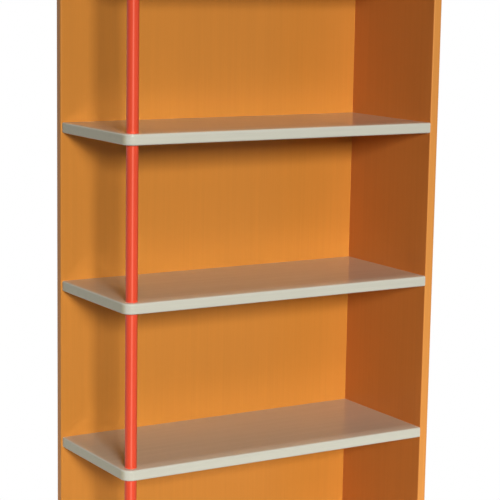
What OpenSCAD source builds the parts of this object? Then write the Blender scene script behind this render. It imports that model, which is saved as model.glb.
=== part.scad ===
// Wall shelf: a back panel, one side panel, five boards and a round pole that ties
// the boards' free front corners together. Millimetres, +Z up, +X towards the side
// panel, +Y towards the wall. The origin is the middle of the base.

/* [Boards] */
// Length of a board, from its free left end to the side panel
board_w = 659; // [420:1:1200]
// Depth of a board, from the back panel to its front edge
board_d = 264; // [180:1:400]
// Thickness of every board
board_t = 20; // [16:0.5:28]
// Plan radius of a board's free front corner, where the pole stands
corner_r = 20; // [6:0.5:40]
// Clear height of each of the two lower compartments
lower_clear = 286; // [200:1:400]
// Clear height of each of the two upper compartments
upper_clear = 281; // [200:1:400]

/* [Panels] */
// Thickness of the back panel
back_t = 18; // [15:0.5:25]
// Thickness of the side panel
side_t = 18; // [16:0.5:28]
// How far the back panel reaches past the boards' free ends
back_reveal = 3; // [0:0.5:20]

/* [Edges] */
// Rounding along the boards' free edges
board_edge_r = 3.5; // [0.5:0.25:6]
// Rounding along the panels' edges
panel_edge_r = 2.5; // [0.5:0.25:5]
// How much rounder a panel's outer corners are than its edges
corner_extra = 1; // [0.5:0.5:15]

/* [Pole] */
// Outer diameter of the pole's tubes
pole_d = 22; // [16:0.5:28]
// Wall of the tubes
pole_wall = 1.5; // [1:0.25:2.5]
// Distance from the pole's axis to the boards' front and left edges
pole_inset = 22; // [15:0.5:60]
// Length of the threaded bushes pressed into the tubes' ends
bush_l = 24; // [19:1:40]
// Thread diameter of the studs and end bolts
stud_d = 8; // [6:0.5:10]
// How far a stud or an end bolt reaches into a bush
stud_bite = 16; // [8:0.5:18]
// Diameter of the hole that a stud passes through in a board
stud_hole_d = 9; // [8.5:0.25:12]
// Head diameter of the end bolts
bolt_head_d = 16; // [13:0.5:20]
// Head height of the end bolts
bolt_head_h = 4.5; // [3:0.25:6]
// Width across the corners of the hexagon sockets in the end bolts
bolt_key_d = 5.8; // [4:0.2:7]

/* [Cam fittings] */
// Diameter of the cam drums
cam_d = 15; // [14.5:0.25:18]
// Distance from a drum's axis to the joint between the two panels
cam_reach = 24; // [20:0.5:34]
// How far a drum reaches beyond the bolt's axis
cam_over = 4.5; // [4.2:0.1:5.5]
// Height of the slot inside a drum
cam_slot_h = 7.4; // [7.2:0.1:7.8]
// Radius of the slot inside a drum
cam_slot_r = 5.4; // [5:0.1:5.6]
// How far that slot lies off the drum's axis
cam_offset = 0.8; // [0.4:0.1:1]
// Thickness of the cover caps under the boards
cap_t = 1.2; // [0.8:0.1:2]
// Diameter of a cam bolt's head
bolt_ball_d = 7; // [6:0.1:7]
// Diameter of a cam bolt's neck
bolt_neck_d = 4.5; // [3.5:0.1:5]
// Diameter of a cam bolt's shank
bolt_shank_d = 6.6; // [6:0.1:7.5]
// Diameter of the screwed end of a cam bolt
bolt_thread_d = 5; // [4:0.25:7]
// How deep a cam bolt is screwed in
bolt_thread_l = 11; // [8:0.5:13]
// Diameter of the bore that a cam bolt lies in
bolt_bore_d = 8; // [7.75:0.25:9]

/* [Dowels and screws] */
// Diameter of the wooden dowels
dowel_d = 8; // [5:0.5:10]
// Length of the wooden dowels
dowel_l = 30; // [24:1:40]
// How deep a dowel sits in the panel it stands out from
dowel_seat = 10; // [8:0.5:11]
// Glue space past each end of a dowel
dowel_space = 0.8; // [0.2:0.1:1]
// Length of the screws through the back panel
screw_l = 50; // [40:1:70]
// Head diameter of these screws
screw_head_d = 10; // [8.5:0.5:12]
// Head height of these screws
screw_head_h = 3; // [2:0.25:4]
// Shank diameter of these screws
screw_shank_d = 7; // [6:0.25:8]
// Core diameter of these screws
screw_core_d = 5; // [4:0.25:5.5]
// Width across the corners of the hexagon sockets in these screws
screw_key_d = 4.6; // [3:0.1:5]

/* [Fixing pattern] */
// Distance from a board's front and rear edges to the nearest cam
cam_inset = 50; // [45:1:80]
// Distance from a cam to the dowel beside it
dowel_step = 32; // [20:1:60]
// Distance from a board's ends to the outer back screws
screw_inset = 60; // [50:1:150]
// Distance from an outer back screw to the dowel beside it
screw_dowel_step = 64; // [20:1:120]

/* [Hangers] */
// Distance between the left and right hanger plates
hanger_spread = 500; // [200:1:560]
// Distance from the board above down to a hanger's entry hole
hanger_drop = 80; // [45:1:150]
// Width of a hanger plate
plate_w = 26; // [22:0.5:40]
// Height of a hanger plate
plate_h = 66; // [58:1:90]
// Thickness of a hanger plate
plate_t = 2; // [1.5:0.25:3]
// Corner radius of a hanger plate
plate_r = 6; // [2:0.5:10]
// Diameter of the hole that a wall screw's head enters
entry_d = 11; // [9:0.5:14]
// Width of the slot that a wall screw's shank rises in
slot_w = 5.2; // [4:0.2:7]
// Height of the slot above the entry hole's centre
slot_rise = 12; // [8:0.5:15]
// Depth of the pocket for the wall screws' heads
head_pocket = 9; // [6:0.5:11]
// Width of that pocket
head_pocket_w = 15; // [12:0.5:18]
// Distance from a plate's ends to its fixing screws
plate_screw_inset = 7; // [5.5:0.25:10]
// Head diameter of the fixing screws
plate_screw_head_d = 7.6; // [6:0.2:8.4]
// Core diameter of the fixing screws
plate_screw_d = 3; // [2:0.25:4]
// Length of the fixing screws
plate_screw_l = 12; // [8:0.5:12]

/* [Fits] */
// Radial play of every round piece in its hole
fit = 0.05; // [0.02:0.01:0.1]
// Play of the hanger plates in their recesses
plate_fit = 0.2; // [0.1:0.05:0.5]
// Play between a cam bolt's head or neck and the drum round it
cam_play = 0.4; // [0.3:0.05:0.5]
// Room past the end of every screwed-in piece
bore_space = 0.5; // [0.2:0.1:1]

/* [Hidden] */
$fn = 48;

OCHRE = "#D68C38";
GREIGE = "#C9C1B0";
RED = "#E4482F";
STEEL = "#B9BCC0";
ZINC = "#A3A6A8";
BEECH = "#D9B88A";

clears = [lower_clear, lower_clear, upper_clear, upper_clear];
last = len(clears);
function board_z(i) = i == 0 ? 0 : board_z(i - 1) + board_t + clears[i - 1];
height = board_z(last) + board_t;

back_w = board_w + back_reveal;
depth = board_d + back_t;
joint_x = (back_w - side_t) / 2;
board_x = joint_x - board_w;
front_y = -depth / 2;
wall_y = depth / 2;
back_y = wall_y - back_t;
pole_x = board_x + pole_inset;
pole_y = front_y + pole_inset;
panel_corner_r = panel_edge_r + corner_extra;

board_mid = board_t / 2;
back_mid_y = wall_y - back_t / 2;
cam_ys = [front_y + cam_inset, back_y - cam_inset];
side_dowel_ys = [cam_ys[0] + dowel_step, cam_ys[1] - dowel_step];
screw_xs = [board_x + screw_inset, (board_x + joint_x) / 2, joint_x - screw_inset];
back_dowel_xs = [screw_xs[0] + screw_dowel_step, screw_xs[2] - screw_dowel_step];
back_cam_zs = [for (i = [0 : last - 1]) board_z(i) + board_t + clears[i] / 2];
hanger_xs = [-hanger_spread / 2, hanger_spread / 2];
hung_boards = [1, last];
hanger_zs = [for (i = hung_boards) board_z(i) - hanger_drop];
dowel_out = dowel_l - dowel_seat;
over = 1;

// End view of a board's free edge: w wide, t thick, its two outer corners rounded
module edge_section(w, t) {
    square([w - board_edge_r, t]);
    translate([0, board_edge_r])
        square([w, t - 2 * board_edge_r]);
    for (y = [board_edge_r, t - board_edge_r])
        translate([w - board_edge_r, y])
            circle(r = board_edge_r);
}

// A free edge that faces +X and runs from the origin towards -Y
module straight_edge(run, w, t) {
    rotate([90, 0, 0])
        linear_extrude(height = run)
            edge_section(w, t);
}

// A quarter turn of the same edge about Z, in the +X +Y quarter
module turned_edge(r, t) {
    rotate_extrude(angle = 90)
        edge_section(r, t);
}

// A flat panel lying on Z = 0 with its middle over the origin, rounded along every edge:
// what its outline and its two end views have in common
module eased_panel(w, h, t) {
    intersection() {
        linear_extrude(height = t)
            rounded_outline(w, h, panel_corner_r);
        translate([0, h / 2 + over, t / 2])
            rotate([90, 0, 0])
                linear_extrude(height = h + 2 * over)
                    rounded_outline(w, t, panel_edge_r);
        translate([-w / 2 - over, 0, t / 2])
            rotate([90, 0, 90])
                linear_extrude(height = w + 2 * over)
                    rounded_outline(h, t, panel_edge_r);
    }
}

// Turns what is drawn along +Z so that it points along +X
module along_x() {
    rotate([0, 90, 0])
        children();
}

// Turns what is drawn along +Z so that it points along -Y, with +Y drawn as +Z
module along_front() {
    rotate([90, 0, 0])
        children();
}

// A countersunk head and its shank along +Z, the head's flat top on Z = 0
module countersunk(head_d, head_h, shank_d, run) {
    cylinder(d1 = head_d, d2 = shank_d, h = head_h);
    cylinder(d = shank_d, h = run);
}

// A wooden dowel along +Z, chamfered at both ends
module dowel() {
    r = dowel_d / 2 - fit;
    chamfer = dowel_d / 8;
    rotate_extrude()
        polygon([
            [0, 0], [r - chamfer, 0], [r, chamfer],
            [r, dowel_l - chamfer], [r - chamfer, dowel_l], [0, dowel_l]
        ]);
}

// A cam bolt along +Z, from the drum's axis at 0 into the panel at cam_reach
module cam_bolt() {
    head_r = bolt_ball_d / 2;
    neck_r = bolt_neck_d / 2;
    shank_r = bolt_shank_d / 2;
    collar_r = bolt_bore_d / 2 - fit;
    thread_r = bolt_thread_d / 2 - fit;
    head_top = cam_slot_r - cam_offset - cam_play;
    head_low = head_top - bolt_ball_d * 0.6;
    bevel = head_r - neck_r;
    neck_clear = 1;
    neck_end = cam_d / 2 + neck_clear;
    collar_l = 1.5;
    tip = 1;
    end = cam_reach + bolt_thread_l;
    rotate_extrude()
        polygon([
            [0, head_low], [neck_r, head_low], [head_r, head_low + bevel],
            [head_r, head_top - bevel], [neck_r, head_top],
            [neck_r, neck_end], [shank_r, neck_end + shank_r - neck_r],
            [shank_r, cam_reach - collar_l], [collar_r, cam_reach - collar_l],
            [collar_r, cam_reach], [thread_r, cam_reach],
            [thread_r, end - tip], [thread_r - tip, end], [0, end]
        ]);
}

// A cam drum. The bolt comes in from +X at Z = 0, and the drum's keyed face looks to -Z.
module cam_drum(low) {
    neck_slot = bolt_neck_d + 2 * cam_play;
    head_hole = bolt_ball_d + cam_play / 2;
    turn_in = 110;
    swing = 150;
    key_w = 1.6;
    key_l = 9;
    key_h = 2.6;
    difference() {
        translate([0, 0, -low])
            cylinder(d = cam_d - 2 * fit, h = low + cam_over);
        // The hollow for the bolt's head, set off the axis so that it pulls as it turns
        translate([-cam_offset, 0, -cam_slot_h / 2])
            cylinder(r = cam_slot_r, h = cam_slot_h);
        // The slot that the neck slides along, and the hole at its end for the head
        translate([0, 0, -neck_slot / 2])
            rotate(-turn_in)
                rotate_extrude(angle = swing)
                    translate([bolt_neck_d / 2, 0])
                        square([cam_d, neck_slot]);
        rotate([90, 0, 90 - turn_in])
            cylinder(d = head_hole, h = cam_d);
        // The cross for the driver
        for (turn = [45, 135])
            rotate(turn)
                translate([-key_l / 2, -key_w / 2, -low - over])
                    cube([key_l, key_w, key_h + over]);
    }
}

// The hollow for one cam in a panel whose keyed face is low under the bolt's axis
module cam_bore(low) {
    translate([0, 0, -low - over])
        cylinder(d = cam_d, h = low + cam_over + over);
    along_x()
        cylinder(d = bolt_bore_d, h = cam_reach + over);
}

// Puts a fitting at the joints of boards first to end with the side panel: X = 0 is on
// a drum's axis
module at_board_cams(first = 0, end = last) {
    for (i = [first : end])
        for (y = cam_ys)
            translate([joint_x - cam_reach, y, board_z(i) + board_mid])
                children();
}

// The same at the back panel's joint with the side panel, the keyed face to the wall
module at_back_cams() {
    for (z = back_cam_zs)
        translate([joint_x - cam_reach, back_mid_y, z])
            rotate([90, 0, 0])
                children();
}

// The dowels between boards and side panel, turned to run along +X from the joint
module at_side_dowels(first = 0, end = last) {
    for (i = [first : end])
        for (y = side_dowel_ys)
            translate([joint_x, y, board_z(i) + board_mid])
                along_x()
                    children();
}

// The dowels between boards and back panel, turned to run along -Y from the joint
module at_back_dowels(first = 0, end = last) {
    for (i = [first : end])
        for (x = back_dowel_xs)
            translate([x, back_y, board_z(i) + board_mid])
                along_front()
                    children();
}

// The dowels in the back panel's right edge, turned to run along +X from the joint
module at_edge_dowels() {
    for (z = back_cam_zs)
        for (side = [-1, 1])
            translate([joint_x, back_mid_y, z + side * dowel_step])
                along_x()
                    children();
}

// The screws through the back panel, turned to run along -Y from the wall face
module at_back_screws(first = 0, end = last) {
    for (i = [first : end])
        for (x = screw_xs)
            translate([x, wall_y, board_z(i) + board_mid])
                along_front()
                    children();
}

// The bore for one dowel: its longer part towards -Z from the joint, its seat towards +Z
module dowel_bore() {
    translate([0, 0, -dowel_out - dowel_space])
        cylinder(d = dowel_d, h = dowel_l + 2 * dowel_space);
}

// The hangers' entry holes, drawn from the wall face inwards
module at_hangers() {
    for (x = hanger_xs)
        for (z = hanger_zs)
            translate([x, wall_y, z])
                along_front()
                    children();
}

// An upright slot's outline: the middles of its two round ends are rise apart
module slot_outline(w, rise) {
    circle(d = w);
    translate([0, rise])
        circle(d = w);
    translate([-w / 2, 0])
        square([w, rise]);
}

// A rectangle's outline with round corners, its middle at the origin
module rounded_outline(w, h, r) {
    square([w - 2 * r, h], center = true);
    square([w, h - 2 * r], center = true);
    for (x = [-1, 1])
        for (y = [-1, 1])
            translate([x * (w / 2 - r), y * (h / 2 - r)])
                circle(r = r);
}

// The plate's outline, with the entry hole's centre at the origin
module plate_outline(play) {
    translate([0, slot_rise / 2])
        rounded_outline(plate_w + 2 * play, plate_h + 2 * play, plate_r + play);
}

// Both ends of a plate, where its fixing screws go
module at_plate_screws() {
    for (side = [-1, 1])
        translate([0, slot_rise / 2 + side * (plate_h / 2 - plate_screw_inset), 0])
            children();
}

// A board on Z = 0, rounded along its free left and front edges and the corner between
module board_blank() {
    translate([board_x + corner_r, front_y + corner_r, 0])
        cube([board_w - corner_r, board_d - corner_r, board_t]);
    translate([board_x + corner_r, front_y + corner_r, 0])
        rotate(180) {
            straight_edge(board_d - corner_r, corner_r, board_t);
            turned_edge(corner_r, board_t);
        }
    translate([joint_x, front_y + corner_r, 0])
        rotate(-90)
            straight_edge(board_w - corner_r, corner_r, board_t);
}

// The countersink for an end bolt, opening at Z = 0
module bolt_seat() {
    cylinder(d1 = bolt_head_d + 2 * fit, d2 = stud_d + 2 * fit, h = bolt_head_h);
    translate([0, 0, -over])
        cylinder(d = bolt_head_d + 2 * fit, h = over);
}

// Board i in its place, with every bore that its fittings need
module board(i) {
    color(GREIGE)
        difference() {
            translate([0, 0, board_z(i)])
                board_blank();
            at_board_cams(i, i)
                cam_bore(board_mid);
            at_side_dowels(i, i)
                dowel_bore();
            at_back_dowels(i, i)
                mirror([0, 0, 1])
                    dowel_bore();
            at_back_screws(i, i)
                cylinder(d = screw_core_d, h = screw_l + bore_space);
            translate([pole_x, pole_y, board_z(i) - over])
                cylinder(d = stud_hole_d, h = board_t + 2 * over);
            if (i == 0)
                translate([pole_x, pole_y, 0])
                    bolt_seat();
            if (i == last)
                translate([pole_x, pole_y, height])
                    mirror([0, 0, 1])
                        bolt_seat();
        }
}

// The back panel: made past the joint, then cut square where it meets the side panel
module back_panel() {
    past = 2 * panel_corner_r;
    color(OCHRE)
        difference() {
            translate([joint_x + (past - back_w) / 2, wall_y, height / 2])
                along_front()
                    eased_panel(back_w + past, height, back_t);
            translate([joint_x, back_y - over, -over])
                cube([past + over, back_t + 2 * over, height + 2 * over]);
            at_back_cams()
                cam_bore(back_t / 2);
            at_edge_dowels()
                dowel_bore();
            at_back_dowels()
                mirror([0, 0, 1])
                    dowel_bore();
            at_back_screws() {
                cylinder(d = screw_shank_d, h = back_t + over);
                cylinder(d1 = screw_head_d + 2 * fit, d2 = screw_shank_d, h = screw_head_h);
            }
            at_hangers() {
                linear_extrude(height = plate_t)
                    plate_outline(plate_fit);
                linear_extrude(height = head_pocket)
                    slot_outline(head_pocket_w, slot_rise);
                at_plate_screws()
                    cylinder(d = plate_screw_d, h = plate_screw_l + bore_space);
            }
        }
}

module side_panel() {
    color(OCHRE)
        difference() {
            translate([joint_x, 0, height / 2])
                along_x()
                    eased_panel(height, depth, side_t);
            translate([cam_reach, 0, 0]) {
                at_board_cams()
                    thread_bore();
                at_back_cams()
                    thread_bore();
            }
            at_side_dowels()
                dowel_bore();
            at_edge_dowels()
                dowel_bore();
        }
}

// The blind bore that a cam bolt is screwed into, from X = 0
module thread_bore() {
    along_x()
        cylinder(d = bolt_thread_d, h = bolt_thread_l + bore_space);
}

// Section i of the pole, standing on board i and carrying board i + 1
module pole_section(i) {
    color(RED)
        translate([pole_x, pole_y, board_z(i) + board_t])
            difference() {
                cylinder(d = pole_d, h = clears[i]);
                translate([0, 0, -over])
                    cylinder(d = pole_d - 2 * pole_wall, h = clears[i] + 2 * over);
            }
}

module pole_bushes() {
    color(STEEL)
        for (i = [0 : last - 1])
            for (end = [0, 1])
                translate([pole_x, pole_y, board_z(i) + board_t + end * (clears[i] - bush_l)])
                    difference() {
                        cylinder(d = pole_d - 2 * pole_wall - 2 * fit, h = bush_l);
                        translate([0, 0, -over])
                            cylinder(d = stud_d, h = bush_l + 2 * over);
                    }
}

module pole_studs() {
    color(ZINC)
        for (i = [1 : last - 1])
            translate([pole_x, pole_y, board_z(i) - stud_bite])
                cylinder(d = stud_d - 2 * fit, h = board_t + 2 * stud_bite);
}

module end_bolt() {
    difference() {
        countersunk(bolt_head_d, bolt_head_h, stud_d - 2 * fit, board_t + stud_bite);
        translate([0, 0, -over])
            cylinder(d = bolt_key_d, h = bolt_head_h + over, $fn = 6);
    }
}

module pole_end_bolts() {
    color(STEEL) {
        translate([pole_x, pole_y, 0])
            end_bolt();
        translate([pole_x, pole_y, height])
            mirror([0, 0, 1])
                end_bolt();
    }
}

module board_cams() {
    color(ZINC)
        at_board_cams()
            cam_drum(board_mid - cap_t);
}

// The caps lie flush with the boards' undersides, slightly dished, their rims eased
module board_cam_caps() {
    r = cam_d / 2 - fit;
    ease = 0.3;
    color(GREIGE)
        at_board_cams()
            translate([0, 0, -board_mid])
                rotate_extrude()
                    polygon([
                        [0, ease], [r / 2, 0], [r - ease, 0], [r, ease], [r, cap_t], [0, cap_t]
                    ]);
}

module board_cam_bolts() {
    color(STEEL)
        at_board_cams()
            along_x()
                cam_bolt();
}

module board_side_dowels() {
    color(BEECH)
        at_side_dowels()
            translate([0, 0, -dowel_out])
                dowel();
}

module board_back_screws() {
    color(STEEL)
        at_back_screws()
            back_screw();
}

// A back screw along +Z: head at 0, a thick shank through the panel, then the core
module back_screw() {
    shank_r = screw_shank_d / 2 - fit;
    core_r = screw_core_d / 2 - fit;
    tip = 3;
    tip_r = 0.5;
    difference() {
        rotate_extrude()
            polygon([
                [0, 0], [screw_head_d / 2, 0], [shank_r, screw_head_h], [shank_r, back_t],
                [core_r, back_t], [core_r, screw_l - tip], [tip_r, screw_l], [0, screw_l]
            ]);
        translate([0, 0, -over])
            cylinder(d = screw_key_d, h = screw_head_h + over, $fn = 6);
    }
}

module board_back_dowels() {
    color(BEECH)
        at_back_dowels()
            translate([0, 0, -dowel_seat])
                dowel();
}

module back_cams() {
    color(ZINC)
        at_back_cams()
            cam_drum(back_t / 2);
}

module back_cam_bolts() {
    color(STEEL)
        at_back_cams()
            along_x()
                cam_bolt();
}

module back_edge_dowels() {
    color(BEECH)
        at_edge_dowels()
            translate([0, 0, -dowel_out])
                dowel();
}

// A hanger plate on Z = 0, its outer face at 0, with a keyhole that opens upwards
module hanger_plate() {
    difference() {
        linear_extrude(height = plate_t)
            plate_outline(0);
        translate([0, 0, -over])
            cylinder(d = entry_d, h = plate_t + 2 * over);
        translate([0, 0, -over])
            linear_extrude(height = plate_t + 2 * over)
                slot_outline(slot_w, slot_rise);
        at_plate_screws() {
            cylinder(d1 = plate_screw_head_d + 2 * fit, d2 = plate_screw_d, h = plate_t);
            translate([0, 0, -over])
                cylinder(d = plate_screw_d, h = plate_t + 2 * over);
        }
    }
}

module hanger_plates() {
    color(STEEL)
        at_hangers()
            hanger_plate();
}

module hanger_screws() {
    color(STEEL)
        at_hangers()
            at_plate_screws()
                countersunk(plate_screw_head_d, plate_t, plate_screw_d - 2 * fit, plate_screw_l);
}

back_panel();
side_panel();
board(0);  // bottom_board
board(1);  // lower_shelf
board(2);  // middle_shelf
board(3);  // upper_shelf
board(4);  // top_board
pole_section(0);  // pole_section_1
pole_section(1);  // pole_section_2
pole_section(2);  // pole_section_3
pole_section(3);  // pole_section_4
pole_bushes();
pole_studs();
pole_end_bolts();
board_cams();
board_cam_caps();
board_cam_bolts();
board_side_dowels();
board_back_screws();
board_back_dowels();
back_cams();
back_cam_bolts();
back_edge_dowels();
hanger_plates();
hanger_screws();
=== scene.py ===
import math

import bpy
from bpy.props import FloatProperty, FloatVectorProperty, IntProperty, PointerProperty
from mathutils import Matrix, Vector


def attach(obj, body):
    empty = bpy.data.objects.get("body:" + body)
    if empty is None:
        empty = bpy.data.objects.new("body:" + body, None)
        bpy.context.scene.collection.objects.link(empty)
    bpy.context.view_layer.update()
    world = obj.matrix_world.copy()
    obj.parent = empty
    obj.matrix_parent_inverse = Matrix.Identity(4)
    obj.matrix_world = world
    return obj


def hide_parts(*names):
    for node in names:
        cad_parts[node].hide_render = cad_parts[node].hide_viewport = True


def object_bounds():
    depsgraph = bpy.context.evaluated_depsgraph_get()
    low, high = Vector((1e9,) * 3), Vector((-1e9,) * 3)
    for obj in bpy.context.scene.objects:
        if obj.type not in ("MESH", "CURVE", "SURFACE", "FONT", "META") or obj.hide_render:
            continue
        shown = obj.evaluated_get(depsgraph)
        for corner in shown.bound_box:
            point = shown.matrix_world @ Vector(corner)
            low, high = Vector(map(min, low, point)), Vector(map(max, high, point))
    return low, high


bl_info = {
    "name": "Wall shelf finishes",
    "version": (1, 0, 0),
    "blender": (4, 5, 0),
    "location": "3D View > Sidebar > Shelf",
    "description": "Lacquers, metals, fixings, floor, lamps and camera for a tall wall shelf",
    "category": "Object",
}

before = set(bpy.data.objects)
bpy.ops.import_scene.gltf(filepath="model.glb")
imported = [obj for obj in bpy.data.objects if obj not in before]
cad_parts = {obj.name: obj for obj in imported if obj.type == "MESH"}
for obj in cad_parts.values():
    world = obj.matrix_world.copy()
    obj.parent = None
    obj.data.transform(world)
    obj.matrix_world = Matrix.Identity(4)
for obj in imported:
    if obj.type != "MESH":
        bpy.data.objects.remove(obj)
cad_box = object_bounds()

MM = 0.001
BODY = "root"
BOARDS = ["bottom_board", "lower_shelf", "middle_shelf", "upper_shelf", "top_board"]
POLE = ["pole_section_1", "pole_section_2", "pole_section_3", "pole_section_4"]
X, Y, Z = 0, 1, 2
WHITE = [1.0, 1.0, 1.0]

# Where soft noise mostly lies
NOISE_LOW = 0.3
NOISE_HIGH = 0.7
# How much of the lacquer's tone comes from each pattern in the veneer
STREAKS_SHARE = 0.40
FIGURE_SHARE = 0.30
CLOUDS_SHARE = 0.30
# How dense the surfaces are, which sets how much they mirror
PANEL_IOR = 1.25
BOARD_IOR = 1.36
POLE_IOR = 1.60
CAP_IOR = 1.46
BEECH_IOR = 1.4
# The powder coat's highlight: how far it is drawn out, its turn to run along the pole, its tint
POLE_STRETCH = 0.88
POLE_TURN = 0.25
POLE_TINT = (1.0, 0.86, 0.70, 1.0)

# Radii of threads and dowels in millimetres: at the very end, at the root and at the crest
MACHINE_END = 2.9
MACHINE_CORE = 3.4
MACHINE_CREST = 3.95
WOOD_CORE = 2.2
WOOD_CREST = 3.3
FINE_CORE = 1.1
FINE_CREST = 1.6
CAM_CORE = 1.9
CAM_CREST = 2.6
DOWEL_END = 2.9
DOWEL_RADIUS = 3.95
# How finely a thread is cut, and how steeply it rises: at 3 it fills two thirds of its pitch
RINGS_A_TURN = 6
THREAD_SLOPE = 3
# Edges of turned pieces that are sharper than this stay sharp
SMOOTH_UP_TO = math.radians(35)

FLOOR_SIDES = 96
# Width of the camera's sensor in millimetres
SENSOR = 36


def colour(title, about, value):
    """A colour that the user can change."""
    return FloatVectorProperty(
        name=title, description=about, subtype="COLOR", size=3, min=0, max=1, default=value)


def length(title, about, value):
    """A length in metres that the user can change."""
    return FloatProperty(
        name=title, description=about, unit="LENGTH", precision=5, min=0, default=value)


def share(title, about, value):
    """A share from 0 to 1 that the user can change."""
    return FloatProperty(
        name=title, description=about, subtype="FACTOR", min=0, max=1, default=value)


def degrees(title, about, value):
    """An angle that the user can change, given in degrees."""
    return FloatProperty(
        name=title, description=about, subtype="ANGLE", default=math.radians(value))


def watts(title, about, value):
    """A lamp's power that the user can change."""
    return FloatProperty(name=title, description=about + ", in watts", min=0, default=value)


class ShelfFinishes(bpy.types.PropertyGroup):
    """Colours and textures of the shelf's surfaces."""

    ochre: colour("Ochre", "Lacquer on the back panel", (0.570, 0.219, 0.034))
    # Painted shade: the side panel's faces get a darker, redder tone than the back panel's
    # lacquer, for the lamp in front grazing them
    shaded_side_ochre: colour("Side ochre", "Lacquer on the side panel's faces", (0.530, 0.172, 0.034))
    # Painted light: the side panel's edges get a paler tone than its faces, for facing the lamp in
    # front
    lit_edge_ochre: colour("Edge ochre", "Lacquer on the side panel's edges", (0.718, 0.289, 0.062))
    # Painted shade: the boards' faces get a darker, browner tone than their long edges, and their
    # open ends a darker one still, for the grazing light on them
    greige: colour("Greige", "Lacquer on the boards' faces", (0.590, 0.520, 0.415))
    edge_greige: colour("Edge greige", "Lacquer on the boards' long edges", (0.566, 0.560, 0.476))
    shaded_end_greige: colour("End greige", "Lacquer on the boards' open ends", (0.505, 0.473, 0.335))
    red: colour("Red", "Powder coat on the pole", (0.745, 0.062, 0.022))
    steel: colour("Steel", "Zinc-plated screws, bolts and plates", (0.55, 0.56, 0.58))
    casting: colour("Casting", "Die-cast drums of the cam fittings", (0.40, 0.41, 0.42))
    cap: colour("Cap", "Moulded caps over the cam fittings", (0.590, 0.520, 0.415))
    beech: colour("Beech", "Dowels", (0.694, 0.479, 0.254))
    lacquer_roughness: share("Lacquer roughness", "How dull the satin lacquer is", 0.33)
    board_roughness: share("Board roughness", "How dull the lacquer on the boards is", 0.20)
    pole_roughness: share("Pole roughness", "How dull the powder coat is", 0.53)
    grain_pitch: length("Grain pitch", "Distance between the streaks under the lacquer", 0.0022)
    grain_length: length("Grain length", "Length of these streaks", 0.16)
    grain_depth: length("Grain depth", "How deep they show in the lacquer", 0.00003)
    grain_tone: share("Grain tone", "How much darker the streaks are", 0.10)
    figure_pitch: length("Figure pitch", "Distance between the broad bands in the veneer", 0.011)
    figure_length: length("Figure length", "Length of these bands", 0.7)
    cloud_size: length("Cloud size", "Size of the slow changes of tone", 0.22)
    peel_pitch: length("Peel pitch", "Size of the fine waves in sprayed lacquer", 0.0016)
    peel_depth: length("Peel depth", "Height of these waves", 0.000008)


class ShelfFixings(bpy.types.PropertyGroup):
    """Sizes that only the detailed screws and dowels have."""

    sides: IntProperty(
        name="Sides", description="Sides of a turned piece", min=12, max=96, default=24)
    machine_pitch: length("Machine thread", "Pitch of the studs and end bolts", 0.00125)
    wood_pitch: length("Wood thread", "Pitch of the screws through the back panel", 0.003)
    fine_pitch: length("Fine thread", "Pitch of the hanger screws", 0.0014)
    cam_pitch: length("Cam bolt thread", "Pitch of the cam bolts", 0.0022)
    flutes: IntProperty(
        name="Flutes", description="Glue flutes round a dowel", min=0, max=24, default=12)
    flute_depth: length("Flute depth", "Depth of the glue flutes", 0.00035)


class ShelfStage(bpy.types.PropertyGroup):
    """Floor, lamps and camera."""

    key_power: watts("Key power", "Power of the lamp in front", 164)
    key_distance: length("Key distance", "From the shelf to the lamp in front", 8.0)
    key_width: length("Key width", "Width of the lamp in front", 1.78)
    key_height: length("Key height", "Height of the lamp in front", 1.30)
    key_azimuth: degrees("Key azimuth", "Side that the lamp in front stands on", -18.8)
    key_elevation: degrees("Key elevation", "How high the lamp in front stands", 14.3)
    key_tip: degrees("Key tip", "How far below the shelf's middle the lamp in front points", 10.4)
    key_spread: degrees("Key spread", "How wide the lamp in front throws its light", 90)
    lamp_colour: colour("Lamp colour", "Colour of the three lamps", (1.0, 0.985, 0.955))
    top_power: watts("Top power", "Power of the lamp overhead", 80)
    top_width: length("Top width", "Width of the lamp overhead", 0.62)
    top_depth: length("Top depth", "Depth of the lamp overhead", 0.45)
    top_place: FloatVectorProperty(
        name="Top lamp", description="Where the lamp overhead hangs", subtype="TRANSLATION",
        size=3, unit="LENGTH", default=(-0.41, -0.625, 6.7))
    rear_power: watts("Rear power", "Power of the lamp behind", 330)
    rear_distance: length("Rear distance", "From the shelf to the lamp behind", 6.0)
    rear_size: length("Rear size", "Width and height of the lamp behind", 2.0)
    rear_azimuth: degrees("Rear azimuth", "Side that the lamp behind stands on", 133)
    rear_elevation: degrees("Rear elevation", "How high the lamp behind stands", 20)
    fill: FloatProperty(
        name="Fill", description="Light from all round", min=0, max=2, default=0.02)
    fill_colour: colour("Fill colour", "Colour of the light from all round", (0.93, 0.97, 1.0))
    glossy_filter: FloatProperty(
        name="Glossy filter", description="How far light thrown by gloss is blurred", min=0,
        default=0.25)
    floor: share("Floor", "How pale the floor is", 0.82)
    floor_glow: share("Floor glow", "How far the floor is lifted towards the background", 0.55)
    floor_radius: length("Floor radius", "Radius of the floor", 1.25)
    floor_near: length("Floor near", "Where the floor starts to fade into the background", 0.40)
    floor_far: length("Floor far", "Where it has faded", 0.575)
    place: FloatVectorProperty(
        name="Camera", description="Where the camera stands", subtype="TRANSLATION", size=3,
        unit="LENGTH", default=(-1.70037, -2.77907, 1.21124))
    azimuth: degrees("Azimuth", "Side that the camera looks from", -30.846)
    elevation: degrees("Elevation", "How far the camera looks down", 9.504)
    roll: degrees("Roll", "How far the camera leans", 0.852)
    lens: FloatProperty(
        name="Lens", description="Focal length in mm on a 36 mm sensor", min=1, default=123.044)
    shift: FloatVectorProperty(
        name="Shift", description="How far the picture is moved on the sensor", size=2,
        default=(0.04, 0.02))


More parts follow.
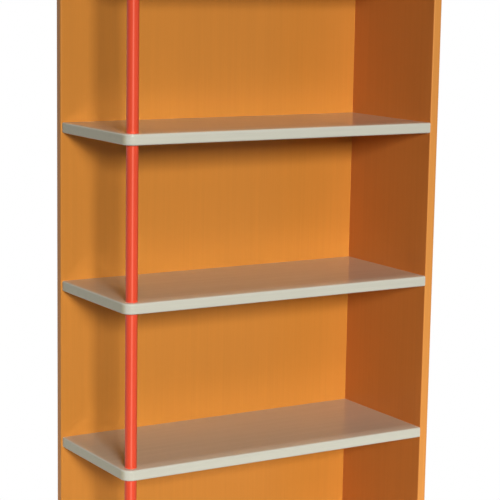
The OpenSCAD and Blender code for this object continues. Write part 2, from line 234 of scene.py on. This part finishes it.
class Field:
    """A socket that varies over a surface. Arithmetic on it adds Math nodes."""

    def __init__(self, finish, socket):
        self.finish = finish
        self.socket = socket

    def maths(self, operation, *values):
        inputs = dict(enumerate(values))
        return self.finish.node("ShaderNodeMath", {"operation": operation}, inputs)

    def __add__(self, other):
        return self.maths("ADD", self, other)

    def __sub__(self, other):
        return self.maths("SUBTRACT", self, other)

    def __mul__(self, other):
        return self.maths("MULTIPLY", self, other)

    def __truediv__(self, other):
        return self.maths("DIVIDE", self, other)

    __radd__ = __add__
    __rmul__ = __mul__

    def larger(self, other):
        """The larger of two values."""
        return self.maths("MAXIMUM", self, other)

    def smaller(self, other):
        """The smaller of two values."""
        return self.maths("MINIMUM", self, other)

    def rise(self, low, high):
        """0 where the value is low, 1 where it is high, and a straight line between."""
        return ((self - low) / (high - low)).larger(0.0).smaller(1.0)

    def full(self):
        """Soft noise, stretched to run from 0 to 1."""
        return self.rise(NOISE_LOW, NOISE_HIGH)

    def about(self, middle, span):
        """Soft noise, moved to lie about a middle value and spread over a span."""
        return middle + (self - 0.5) * span


class Finish:
    """The node tree of a material or of the world while it is put together."""

    def __init__(self, owner):
        owner.use_nodes = True
        self.owner = owner
        self.tree = owner.node_tree
        self.tree.nodes.clear()

    def node(self, kind, settings=None, sockets=None, out=0):
        """Adds a node: settings first, then its sockets' values or links. Returns one output."""
        made = self.tree.nodes.new(kind)
        for name, value in (settings or {}).items():
            setattr(made, name, value)
        for name, value in (sockets or {}).items():
            target = self.pick(made.inputs, name)
            if isinstance(value, Field):
                self.tree.links.new(value.socket, target)
            else:
                target.default_value = value
        return Field(self, self.pick(made.outputs, out)) if made.outputs else None

    @staticmethod
    def pick(sockets, name):
        """A socket by number or by name. Of several with one name, the one in use."""
        if isinstance(name, int):
            return sockets[name]
        return next(socket for socket in sockets if socket.name == name and socket.enabled)

    def place(self, stretch):
        """Where a point lies on the object, with each axis multiplied."""
        here = self.node("ShaderNodeTexCoord", out="Object")
        return self.node("ShaderNodeVectorMath", {"operation": "MULTIPLY"}, {0: here, 1: stretch})

    def noise(self, sizes, detail=2.0):
        """Soft random spots of the given sizes along X, Y and Z. From 0 to 1, mostly near 0.5."""
        where = self.place([1 / size for size in sizes])
        values = {"Vector": where, "Scale": 1.0, "Detail": detail}
        return self.node("ShaderNodeTexNoise", {}, values)

    def flat(self, axis):
        """1 on the flat faces across an axis, 0 on the others and on rounded corners."""
        facing = self.node("ShaderNodeTexCoord", out="Normal")
        along = self.node("ShaderNodeSeparateXYZ", {}, {0: facing}, axis)
        return along.maths("ABSOLUTE", along).rise(0.80, 0.95)

    def blend(self, amount, a, b):
        """From colour a to colour b."""
        values = {"Factor": amount, "A": a, "B": b}
        return self.node("ShaderNodeMix", {"data_type": "RGBA"}, values, "Result")

    def mottled(self, amount, tone, dark, pale):
        """One tone, from darker to paler by those factors."""
        return self.blend(amount, rgba(tone, dark), rgba(tone, pale))

    def bump(self, height, depth, under=None):
        """A normal for a height from 0 to 1 that is depth metres deep."""
        values = {"Height": height, "Distance": depth, "Strength": 1.0}
        if under:
            values["Normal"] = under
        return self.node("ShaderNodeBump", {}, values)

    def surface(self, **values):
        """Ends a material with its shader. Names are the shader's sockets, with _ for a space."""
        named = {name.replace("_", " "): value for name, value in values.items()}
        shader = self.node("ShaderNodeBsdfPrincipled", {}, named)
        self.node("ShaderNodeOutputMaterial", {}, {"Surface": shader})
        return self.owner


def rgba(value, factor=1.0):
    """A stored colour as a shader colour, lighter or darker by factor."""
    return [min(1.0, part * factor) for part in value] + [1.0]


def grained(across, along, grain):
    """Sizes of a pattern that is drawn out along the grain's axis."""
    sizes = [across] * 3
    sizes[grain] = along
    return sizes


def lacquer(name, looks, tone, others, grain, roughness, density):
    """Satin lacquer over veneer. The faces across an axis named in others have their own tone, a
    painted shade for the lamps' grazing light on them.
    """
    finish = Finish(bpy.data.materials.new(name))
    streaks = finish.noise(grained(looks.grain_pitch, looks.grain_length, grain), 3.0)
    figure = finish.noise(grained(looks.figure_pitch, looks.figure_length, grain), 1.0)
    clouds = finish.noise([looks.cloud_size] * 3)
    peel = finish.noise([looks.peel_pitch] * 3)
    parts = (
        STREAKS_SHARE * streaks.full() + FIGURE_SHARE * figure.full()
        + CLOUDS_SHARE * clouds.full())
    relief = finish.bump(streaks, looks.grain_depth, finish.bump(peel, looks.peel_depth))
    ends = []
    for factor in (1 - looks.grain_tone / 2, 1 + looks.grain_tone / 2):
        mixed = rgba(tone, factor)
        for axis, other in others.items():
            mixed = finish.blend(finish.flat(axis), mixed, rgba(other, factor))
        ends.append(mixed)
    return finish.surface(
        Base_Color=finish.blend(parts, *ends),
        Roughness=streaks.about(roughness, 0.10),
        IOR=density,
        Normal=relief)


def powder_coat(name, paint, looks):
    """Baked powder coat: small waves of orange peel, and a highlight drawn out along the pole."""
    finish = Finish(bpy.data.materials.new(name))
    peel = finish.noise([1.4 * MM, 1.4 * MM, 1.8 * MM])
    fine = finish.noise([0.3 * MM] * 3)
    clouds = finish.noise([30 * MM, 30 * MM, 120 * MM])
    return finish.surface(
        Base_Color=finish.mottled(clouds.full(), paint, 0.97, 1.03),
        Roughness=fine.about(looks.pole_roughness, 0.12),
        Anisotropic=POLE_STRETCH,
        Anisotropic_Rotation=POLE_TURN,
        IOR=POLE_IOR,
        Specular_Tint=POLE_TINT,
        Normal=finish.bump(peel, 0.015 * MM, finish.bump(fine, 0.002 * MM)))


def zinc_plate(name, metal):
    """Bright zinc on steel, a little cloudy."""
    finish = Finish(bpy.data.materials.new(name))
    clouds = finish.noise([4 * MM] * 3, 4.0)
    fine = finish.noise([0.4 * MM] * 3)
    return finish.surface(
        Base_Color=finish.mottled(clouds.rise(0.35, 0.65), metal, 0.88, 1.08),
        Metallic=1.0,
        Roughness=clouds.about(0.30, 0.25),
        Normal=finish.bump(fine, 0.012 * MM))


def casting(name, metal):
    """Dull die-cast zinc with the grain of its mould."""
    finish = Finish(bpy.data.materials.new(name))
    grit = finish.noise([0.5 * MM] * 3, 3.0)
    clouds = finish.noise([5 * MM] * 3)
    return finish.surface(
        Base_Color=finish.mottled(clouds.full(), metal, 0.85, 1.1),
        Metallic=1.0,
        Roughness=grit.about(0.46, 0.2),
        Normal=finish.bump(grit, 0.04 * MM))


def moulded(name, plastic):
    """Matt plastic with a fine spark-eroded texture."""
    finish = Finish(bpy.data.materials.new(name))
    grit = finish.noise([0.25 * MM] * 3)
    clouds = finish.noise([8 * MM] * 3)
    return finish.surface(
        Base_Color=finish.mottled(clouds.full(), plastic, 0.98, 1.02),
        Roughness=grit.about(0.52, 0.15),
        IOR=CAP_IOR,
        Normal=finish.bump(grit, 0.02 * MM))


def raw_beech(name, wood, grain):
    """Raw beech with its short dark flecks along one axis."""
    finish = Finish(bpy.data.materials.new(name))
    flecks = finish.noise(grained(0.5 * MM, 4.5 * MM, grain), 1.0).rise(0.60, 0.68)
    bands = finish.noise(grained(1.6 * MM, 50 * MM, grain))
    pale = finish.mottled(bands.full(), wood, 0.86, 1.1)
    return finish.surface(
        Base_Color=finish.blend(flecks, pale, rgba(wood, 0.55)),
        Roughness=bands.about(0.62, 0.2),
        IOR=BEECH_IOR,
        Normal=finish.bump(flecks, 0.04 * MM))


def dress(nodes, material):
    """Gives a finish to CAD nodes."""
    for name in nodes:
        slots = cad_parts[name].data.materials
        slots.clear()
        slots.append(material)


def solids(node):
    """The lowest and highest corner of each solid in a CAD node."""
    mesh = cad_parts[node].data
    # Corners that share a place or a face belong to one solid.
    spots = {}
    keys = [tuple(round(part / MM, 3) for part in vertex.co) for vertex in mesh.vertices]
    joined = list(range(len(keys)))

    def first(index):
        while joined[index] != index:
            joined[index] = joined[joined[index]]
            index = joined[index]
        return index

    for index, key in enumerate(keys):
        joined[index] = first(spots.setdefault(key, index))
    for face in mesh.polygons:
        for index in face.vertices:
            joined[first(index)] = first(face.vertices[0])
    boxes = {}
    for vertex in mesh.vertices:
        low, high = boxes.setdefault(first(vertex.index), (vertex.co.copy(), vertex.co.copy()))
        for axis in (X, Y, Z):
            low[axis] = min(low[axis], vertex.co[axis])
            high[axis] = max(high[axis], vertex.co[axis])
    return sorted(boxes.values(), key=lambda box: tuple(box[0]))


def spots_along(node, axis, ahead):
    """Where each solid of a CAD node starts, and the turn from +Z to the way that it points."""
    way = Vector((0, 0, 0))
    way[axis] = ahead
    turn = way.to_track_quat("Z", "Y").to_matrix().to_4x4()
    places = []
    for low, high in solids(node):
        start = (low + high) / 2
        start[axis] = low[axis] if ahead > 0 else high[axis]
        places.append(Matrix.Translation(start) @ turn)
    return places


def circle(z, radius, sides):
    """A round ring of a turned piece, in millimetres."""
    return z, [radius] * sides


def profile(sides, *points):
    """Round rings from pairs of height and radius, in millimetres."""
    return [circle(z, radius, sides) for z, radius in points]


def hexagon(z, across_corners, sides):
    """A ring with six flats."""
    flat = across_corners / 2 * math.cos(math.pi / 6)
    turns = [math.tau * side / sides for side in range(sides)]
    return z, [flat / math.cos(turn % (math.pi / 3) - math.pi / 6) for turn in turns]


def cross(z, reach, arm, sides):
    """A ring with four arms."""
    quarter = math.pi / 2
    turns = [math.tau * side / sides for side in range(sides)]
    offs = [abs((turn + quarter / 2) % quarter - quarter / 2) for turn in turns]
    return z, [min(reach, arm / 2 / max(math.sin(off), 1e-6)) for off in offs]


def fluted(z, radius, depth, flutes, sides):
    """A ring with flutes all round."""
    dips = [0.5 - 0.5 * math.cos(math.tau * flutes * side / sides) for side in range(sides)]
    return z, [radius - depth * dip for dip in dips]


def thread(start, end, core, crest, pitch, sides):
    """Rings of a thread that runs out at both ends."""
    steps = math.ceil((end - start) / pitch * RINGS_A_TURN)
    rings = []
    for step in range(steps + 1):
        z = start + (end - start) * step / steps
        full = min(1, (z - start) / pitch, (end - z) / pitch)
        radii = []
        for side in range(sides):
            turn = (z / pitch - side / sides) % 1
            ridge = max(0, 1 - abs(turn - 0.5) * THREAD_SLOPE)
            radii.append(core + (crest - core) * full * ridge)
        rings.append((z, radii))
    return rings


def turned(name, rings, places, material, replaced):
    """One piece that holds a copy of a turned shape in every place. It replaces a CAD node."""
    sides = len(rings[0][1])
    corners = []
    faces = []
    for place in places:
        first = len(corners)
        for z, radii in rings:
            for side, radius in enumerate(radii):
                turn = math.tau * side / sides
                point = Vector((radius * math.cos(turn), radius * math.sin(turn), z))
                corners.append(place @ (point * MM))
        for row in range(first, first + (len(rings) - 1) * sides, sides):
            for side in range(sides):
                after = (side + 1) % sides
                faces.append((row + side, row + after, row + sides + after, row + sides + side))
        faces.append(tuple(range(first + sides - 1, first - 1, -1)))
        faces.append(tuple(range(len(corners) - sides, len(corners))))
    mesh = bpy.data.meshes.new(name)
    mesh.from_pydata(corners, [], faces)
    mesh.shade_smooth()
    mesh.set_sharp_from_angle(angle=SMOOTH_UP_TO)
    mesh.materials.append(material)
    piece = bpy.data.objects.new(name, mesh)
    bpy.context.scene.collection.objects.link(piece)
    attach(piece, BODY)
    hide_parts(replaced)
    return piece


def run(node, axis):
    """Length of a CAD node's first solid along an axis, in millimetres."""
    low, high = solids(node)[0]
    return (high[axis] - low[axis]) / MM


class SHELF_OT_panels(bpy.types.Operator):
    """Lacquer the back and side panels"""

    bl_idname = "shelf.panels"
    bl_label = "Panels"

    def execute(self, context):
        looks = context.scene.shelf_finishes
        # The side panel's faces take the painted-shade tone, and its edges the painted-light tone
        tones = {X: looks.shaded_side_ochre}
        dull = looks.lacquer_roughness
        dress(["back_panel"], lacquer(
            "ochre_lacquer", looks, looks.ochre, {}, Z, dull, PANEL_IOR))
        dress(["side_panel"], lacquer(
            "ochre_lacquer_side", looks, looks.lit_edge_ochre, tones, Z, dull, PANEL_IOR))
        return {"FINISHED"}


class SHELF_OT_boards(bpy.types.Operator):
    """Lacquer the five boards"""

    bl_idname = "shelf.boards"
    bl_label = "Boards"

    def execute(self, context):
        looks = context.scene.shelf_finishes
        # The boards' faces and open ends take painted-shade tones, and their long edges the lit
        # tone
        tones = {Z: looks.greige, X: looks.shaded_end_greige}
        dull = looks.board_roughness
        dress(BOARDS, lacquer(
            "greige_lacquer", looks, looks.edge_greige, tones, X, dull, BOARD_IOR))
        return {"FINISHED"}


class SHELF_OT_pole(bpy.types.Operator):
    """Coat the sections of the pole"""

    bl_idname = "shelf.pole"
    bl_label = "Pole"

    def execute(self, context):
        looks = context.scene.shelf_finishes
        dress(POLE, powder_coat("red_powder_coat", looks.red, looks))
        return {"FINISHED"}


class SHELF_OT_pole_fixings(bpy.types.Operator):
    """Cut the threads of the studs and end bolts in the pole"""

    bl_idname = "shelf.pole_fixings"
    bl_label = "Pole fixings"

    def execute(self, context):
        looks = context.scene.shelf_finishes
        sizes = context.scene.shelf_fixings
        sides = sizes.sides
        pitch = sizes.machine_pitch / MM
        plated = zinc_plate("zinc_steel", looks.steel)
        dress(["pole_bushes"], plated)

        tall = run("pole_studs", Z)
        rings = profile(sides, (0, MACHINE_END))
        rings += thread(0.8, tall - 0.8, MACHINE_CORE, MACHINE_CREST, pitch, sides)
        rings += profile(sides, (tall, MACHINE_END))
        places = spots_along("pole_studs", Z, 1)
        turned("threaded_studs", rings, places, plated, "pole_studs")

        # The recess for the key, the countersunk head and the plain shank
        tall = run("pole_end_bolts", Z)
        rings = [hexagon(4.2, 5.6, sides), hexagon(0.2, 5.8, sides)]
        rings += profile(
            sides, (0, 3.2), (0, 7.7), (0.3, 8.0), (4.5, MACHINE_CREST), (8, MACHINE_CREST))
        rings += thread(8.2, tall - 1, MACHINE_CORE, MACHINE_CREST, pitch, sides)
        rings += profile(sides, (tall, MACHINE_END))
        places = [spots_along("pole_end_bolts", Z, 1)[0], spots_along("pole_end_bolts", Z, -1)[1]]
        turned("socket_end_bolts", rings, places, plated, "pole_end_bolts")
        return {"FINISHED"}


class SHELF_OT_cam_fittings(bpy.types.Operator):
    """Finish the cam drums, their caps and their bolts"""

    bl_idname = "shelf.cam_fittings"
    bl_label = "Cam fittings"

    def execute(self, context):
        looks = context.scene.shelf_finishes
        sizes = context.scene.shelf_fixings
        sides = sizes.sides
        dress(["board_cams", "back_cams"], casting("zinc_casting", looks.casting))
        dress(["board_cam_caps"], moulded("greige_plastic", looks.cap))
        plated = zinc_plate("zinc_bolt", looks.steel)
        # The rounded head that the drum grips, the neck, the shank and the collar
        tall = run("board_cam_bolts", X)
        rings = profile(
            sides, (0, 2.2), (0.5, 3.0), (1.25, 3.5), (2.95, 3.5), (3.7, 3.0), (4.2, 2.25),
            (8.5, 2.25), (9.55, 3.3), (22.5, 3.3), (22.5, 3.95), (24, 3.95), (24, CAM_CORE))
        rings += thread(24.2, tall - 1, CAM_CORE, CAM_CREST, sizes.cam_pitch / MM, sides)
        rings += profile(sides, (tall, 0.9))
        for node in ("board_cam_bolts", "back_cam_bolts"):
            places = spots_along(node, X, 1)
            turned("threaded_" + node, rings, places, plated, node)
        return {"FINISHED"}


class SHELF_OT_dowels(bpy.types.Operator):
    """Flute the beech dowels"""

    bl_idname = "shelf.dowels"
    bl_label = "Dowels"

    def execute(self, context):
        looks = context.scene.shelf_finishes
        sizes = context.scene.shelf_fixings
        sides = 4 * max(sizes.flutes, 3)
        depth = sizes.flute_depth / MM
        across = raw_beech("beech_along_x", looks.beech, X)
        inwards = raw_beech("beech_along_y", looks.beech, Y)
        for node, axis, wood in (
                ("board_side_dowels", X, across), ("back_edge_dowels", X, across),
                ("board_back_dowels", Y, inwards)):
            tall = run(node, axis)
            rings = [
                circle(0, DOWEL_END, sides),
                fluted(1, DOWEL_RADIUS, depth, sizes.flutes, sides),
                fluted(tall - 1, DOWEL_RADIUS, depth, sizes.flutes, sides),
                circle(tall, DOWEL_END, sides),
            ]
            turned("fluted_" + node, rings, spots_along(node, axis, 1), wood, node)
        return {"FINISHED"}


class SHELF_OT_back_screws(bpy.types.Operator):
    """Thread the screws that hold the back panel to the boards"""

    bl_idname = "shelf.back_screws"
    bl_label = "Back screws"

    def execute(self, context):
        looks = context.scene.shelf_finishes
        sizes = context.scene.shelf_fixings
        sides = sizes.sides
        node = "board_back_screws"
        tall = run(node, Y)
        panel = run("back_panel", Y)
        # The recess for the key, the countersunk head and the plain shank as far as the board
        rings = [hexagon(2.8, 4.4, sides), hexagon(0.15, 4.6, sides)]
        rings += profile(
            sides, (0, 2.6), (0, 4.8), (0.25, 5.0), (3, 3.45), (panel - 0.5, 3.45),
            (panel, WOOD_CORE))
        rings += thread(panel + 0.4, tall - 3, WOOD_CORE, WOOD_CREST, sizes.wood_pitch / MM, sides)
        rings += profile(sides, (tall, 0.5))
        plated = zinc_plate("zinc_screw", looks.steel)
        turned("threaded_" + node, rings, spots_along(node, Y, -1), plated, node)
        return {"FINISHED"}


class SHELF_OT_hangers(bpy.types.Operator):
    """Plate the hangers and cut the cross recess and thread of their screws"""

    bl_idname = "shelf.hangers"
    bl_label = "Hangers"

    def execute(self, context):
        looks = context.scene.shelf_finishes
        sizes = context.scene.shelf_fixings
        sides = sizes.sides
        plated = zinc_plate("zinc_plate", looks.steel)
        dress(["hanger_plates"], plated)
        node = "hanger_screws"
        tall = run(node, Y)
        # The cross recess and the countersunk head
        rings = [circle(1.5, 0.4, sides), cross(1.1, 1.3, 0.7, sides), cross(0, 2.3, 1.1, sides)]
        rings += profile(sides, (0, 3.6), (0.15, 3.8), (2, 1.45))
        rings += thread(2.4, tall - 2.5, FINE_CORE, FINE_CREST, sizes.fine_pitch / MM, sides)
        rings += profile(sides, (tall, 0.15))
        turned("cross_head_screws", rings, spots_along(node, Y, -1), plated, node)
        return {"FINISHED"}


def aimed(azimuth, elevation, roll):
    """The turn of a camera that looks at the shelf from that side and height."""
    ahead = Vector((
        -math.sin(azimuth) * math.cos(elevation),
        math.cos(azimuth) * math.cos(elevation),
        -math.sin(elevation)))
    right = ahead.cross(Vector((0, 0, 1))).normalized()
    up = right.cross(ahead)
    side = right * math.cos(roll) + up * math.sin(roll)
    top = up * math.cos(roll) - right * math.sin(roll)
    return Matrix((side, top, -ahead)).transposed().to_4x4()


def seen_directly(finish):
    """1 for what the camera sees, also in metal or through glass. 0 for soft light."""
    path = finish.node("ShaderNodeLightPath", out="Is Camera Ray")
    node = path.socket.node
    for name in ("Is Glossy Ray", "Is Transmission Ray"):
        path = path.larger(Field(finish, node.outputs[name]))
    return path


def put(name, data, turn=None):
    """Links a new object into the scene."""
    made = bpy.data.objects.new(name, data)
    bpy.context.scene.collection.objects.link(made)
    if turn:
        made.matrix_world = turn
    return made


class SHELF_OT_stage(bpy.types.Operator):
    """Lay the floor, hang the lamps and set up the camera"""

    bl_idname = "shelf.stage"
    bl_label = "Stage"

    def execute(self, context):
        stage = context.scene.shelf_stage
        self.floor(stage)
        self.world(context.scene, stage)
        middle = (cad_box[0] + cad_box[1]) / 2
        tint = stage.lamp_colour
        key = self.lamp("key", stage.key_power, stage.key_width, stage.key_height, tint)
        self.aim(
            key, middle, stage.key_distance, stage.key_azimuth, stage.key_elevation, stage.key_tip)
        key.data.spread = stage.key_spread
        top = self.lamp("top", stage.top_power, stage.top_width, stage.top_depth, tint)
        top.matrix_world = Matrix.Translation(stage.top_place)
        rear = self.lamp("rear", stage.rear_power, stage.rear_size, stage.rear_size, tint)
        self.aim(rear, middle, stage.rear_distance, stage.rear_azimuth, stage.rear_elevation)
        self.camera(context.scene, stage)
        # A low filter keeps the glow that the boards' lacquer throws on the panels above them.
        context.scene.cycles.blur_glossy = stage.glossy_filter
        context.scene.view_settings.view_transform = "Standard"
        return {"FINISHED"}

    def floor(self, stage):
        """A pale disc that keeps the shelf's shadow and fades into the background."""
        finish = Finish(bpy.data.materials.new("floor"))
        here = finish.place((1, 1, 0))
        reach = finish.node("ShaderNodeVectorMath", {"operation": "LENGTH"}, {0: here}, "Value")
        pale = rgba([stage.floor] * 3)
        lit = finish.node("ShaderNodeBsdfDiffuse", {}, {"Color": pale})
        white = finish.node("ShaderNodeEmission", {}, {"Color": rgba(WHITE), "Strength": 1.0})
        fade = reach.rise(stage.floor_near, stage.floor_far)
        lift = (fade * (1 - stage.floor_glow) + stage.floor_glow) * seen_directly(finish)
        mixed = finish.node("ShaderNodeMixShader", {}, {0: lift, 1: lit, 2: white})
        finish.node("ShaderNodeOutputMaterial", {}, {"Surface": mixed})
        radius = stage.floor_radius
        turns = [math.tau * step / FLOOR_SIDES for step in range(FLOOR_SIDES)]
        corners = [(radius * math.cos(turn), radius * math.sin(turn), 0) for turn in turns]
        mesh = bpy.data.meshes.new("floor")
        mesh.from_pydata(corners, [], [tuple(range(FLOOR_SIDES))])
        mesh.materials.append(finish.owner)
        put("floor", mesh)

    def world(self, scene, stage):
        """White to look at, and a soft fill for everything else."""
        finish = Finish(bpy.data.worlds.new("studio"))
        fill = {"Color": rgba(stage.fill_colour), "Strength": stage.fill}
        soft = finish.node("ShaderNodeBackground", {}, fill)
        white = finish.node("ShaderNodeBackground", {}, {"Color": rgba(WHITE), "Strength": 1.0})
        seen = seen_directly(finish)
        mixed = finish.node("ShaderNodeMixShader", {}, {0: seen, 1: soft, 2: white})
        finish.node("ShaderNodeOutputWorld", {}, {"Surface": mixed})
        scene.world = finish.owner

    def lamp(self, name, power, width, height, tint):
        """A large soft lamp."""
        lamp = bpy.data.lights.new(name, "AREA")
        lamp.shape = "RECTANGLE"
        lamp.size = width
        lamp.size_y = height
        lamp.energy = power
        lamp.color = tint
        return put(name, lamp)

    def aim(self, lamp, target, distance, azimuth, elevation, tip=0):
        """Stands a lamp at a distance from its target, and tips it down from there."""
        back = aimed(azimuth, elevation, 0).to_3x3() @ Vector((0, 0, distance))
        lamp.matrix_world = Matrix.Translation(target + back) @ aimed(azimuth, elevation + tip, 0)

    def camera(self, scene, stage):
        """The view of the photograph."""
        camera = bpy.data.cameras.new("camera")
        camera.sensor_fit = "HORIZONTAL"
        camera.sensor_width = SENSOR
        camera.lens = stage.lens
        camera.shift_x, camera.shift_y = stage.shift
        turn = aimed(stage.azimuth, stage.elevation, stage.roll)
        scene.camera = put("camera", camera, Matrix.Translation(stage.place) @ turn)


GROUPS = {
    "shelf_finishes": ShelfFinishes,
    "shelf_fixings": ShelfFixings,
    "shelf_stage": ShelfStage,
}
OPERATORS = [
    SHELF_OT_panels, SHELF_OT_boards, SHELF_OT_pole, SHELF_OT_pole_fixings, SHELF_OT_cam_fittings,
    SHELF_OT_dowels, SHELF_OT_back_screws, SHELF_OT_hangers, SHELF_OT_stage,
]


class VIEW3D_PT_shelf(bpy.types.Panel):
    """Lists the shelf's steps and sizes in the sidebar"""

    bl_label = "Shelf"
    bl_space_type = "VIEW_3D"
    bl_region_type = "UI"
    bl_category = "Shelf"

    def draw(self, context):
        for operator in OPERATORS:
            self.layout.operator(operator.bl_idname)
        for name, group in GROUPS.items():
            box = self.layout.box()
            for setting in group.__annotations__:
                box.prop(getattr(context.scene, name), setting)


def register():
    for group in GROUPS.values():
        bpy.utils.register_class(group)
    for name, group in GROUPS.items():
        setattr(bpy.types.Scene, name, PointerProperty(type=group))
    for operator in OPERATORS:
        bpy.utils.register_class(operator)
    bpy.utils.register_class(VIEW3D_PT_shelf)


def unregister():
    bpy.utils.unregister_class(VIEW3D_PT_shelf)
    for operator in reversed(OPERATORS):
        bpy.utils.unregister_class(operator)
    for name in GROUPS:
        delattr(bpy.types.Scene, name)
    for group in GROUPS.values():
        bpy.utils.unregister_class(group)


def main():
    register()
    for operator in OPERATORS:
        family, step = operator.bl_idname.split(".")
        done = getattr(getattr(bpy.ops, family), step)()
        if done != {"FINISHED"}:
            raise RuntimeError(operator.bl_label + " did not finish")


if __name__ == "__main__":
    main()
